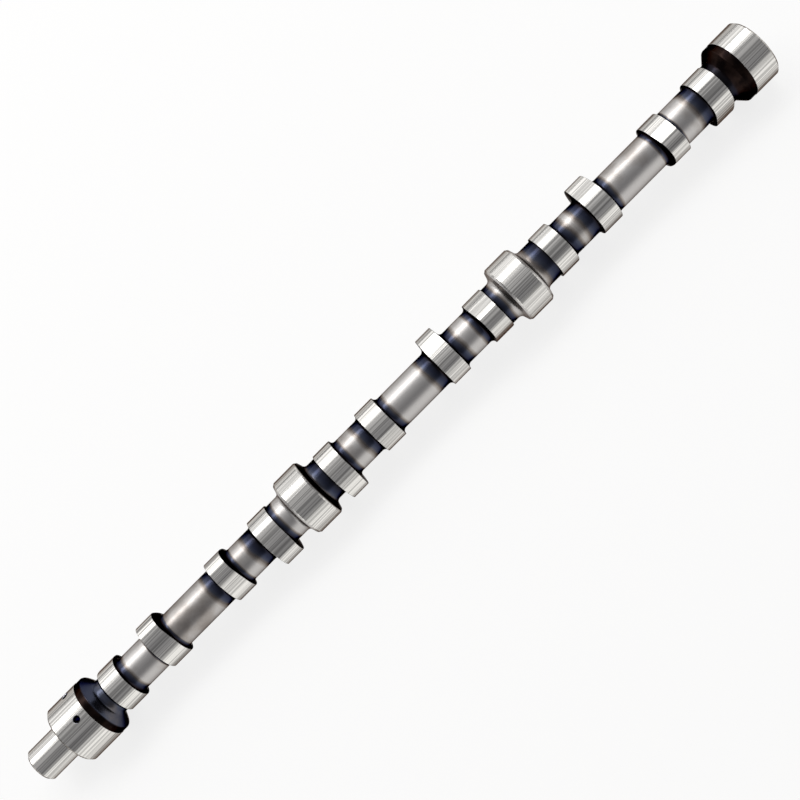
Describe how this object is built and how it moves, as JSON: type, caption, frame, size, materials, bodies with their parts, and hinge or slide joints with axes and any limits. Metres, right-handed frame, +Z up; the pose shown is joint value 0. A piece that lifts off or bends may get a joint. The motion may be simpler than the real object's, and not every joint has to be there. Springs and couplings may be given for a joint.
{
  "type": "camshaft",
  "caption": "One-piece forged engine camshaft with equal ground bearing journals, paired inlet and exhaust cams, and a keyed gear seat with oil drillings at the front.",
  "frame": {"origin": "on the shaft's axis at the front thrust face of the first bearing journal", "axes": "+X along the shaft from the front (gear seat) to the rear journal, +Z up, with the shaft lying on its journals; cylinder 2's inlet nose points up"},
  "size_m": [0.796, 0.054, 0.0538],
  "materials": {
    "camshaft_steel": "bright ground journals and cams, satin shaft with dark heat tint beside each hardened cam"
  },
  "bodies": {
    "root": {"camshaft": "camshaft_steel"}
  },
  "joints": []
}
